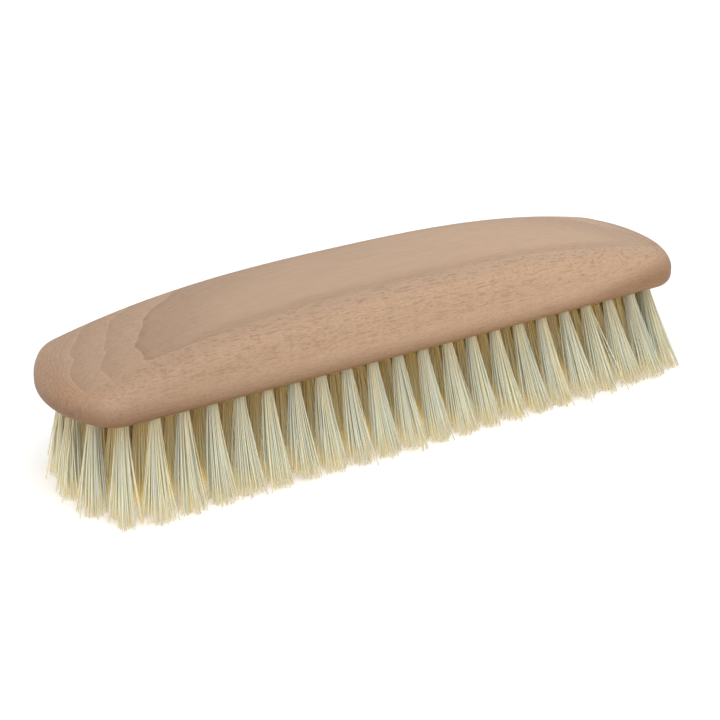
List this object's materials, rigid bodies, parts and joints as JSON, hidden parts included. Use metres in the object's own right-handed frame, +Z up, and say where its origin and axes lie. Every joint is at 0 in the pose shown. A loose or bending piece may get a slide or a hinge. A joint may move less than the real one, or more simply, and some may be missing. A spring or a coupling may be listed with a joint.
{
  "type": "clothes brush",
  "caption": "Clothes brush: one-piece arched beech block with blunt rounded ends, drilled blind and set with splayed cream bristle tufts on wire anchors.",
  "frame": {"origin": "centre of the plane that the bristle tips stand on", "axes": "+X along the block, +Y across it, +Z up from the bristle tips to the wooden back"},
  "size_m": [0.2, 0.0584, 0.0445],
  "materials": {
    "beech": "fine sanded, waxed satin",
    "bristle": "stiff natural filament, silky",
    "anchor_wire": "drawn flat wire"
  },
  "bodies": {
    "root": {"brush_block": "beech", "tufts_row_01": "bristle", "tufts_row_02": "bristle", "tufts_row_03": "bristle", "tufts_row_04": "bristle", "tufts_row_05": "bristle", "tufts_row_06": "bristle", "tufts_row_07": "bristle", "tufts_row_08": "bristle", "tufts_row_09": "bristle", "tufts_row_10": "bristle", "tufts_row_11": "bristle", "tufts_row_12": "bristle", "tufts_row_13": "bristle", "tufts_row_14": "bristle", "tufts_row_15": "bristle", "tufts_row_16": "bristle", "tufts_row_17": "bristle", "tufts_row_18": "bristle", "tufts_row_19": "bristle", "tufts_row_20": "bristle", "tufts_left_end": "bristle", "tufts_right_end": "bristle", "anchors_row_01": "anchor_wire", "anchors_row_02": "anchor_wire", "anchors_row_03": "anchor_wire", "anchors_row_04": "anchor_wire", "anchors_row_05": "anchor_wire", "anchors_row_06": "anchor_wire", "anchors_row_07": "anchor_wire", "anchors_row_08": "anchor_wire", "anchors_row_09": "anchor_wire", "anchors_row_10": "anchor_wire", "anchors_row_11": "anchor_wire", "anchors_row_12": "anchor_wire", "anchors_row_13": "anchor_wire", "anchors_row_14": "anchor_wire", "anchors_row_15": "anchor_wire", "anchors_row_16": "anchor_wire", "anchors_row_17": "anchor_wire", "anchors_row_18": "anchor_wire", "anchors_row_19": "anchor_wire", "anchors_row_20": "anchor_wire", "anchors_left_end": "anchor_wire", "anchors_right_end": "anchor_wire"}
  },
  "joints": []
}
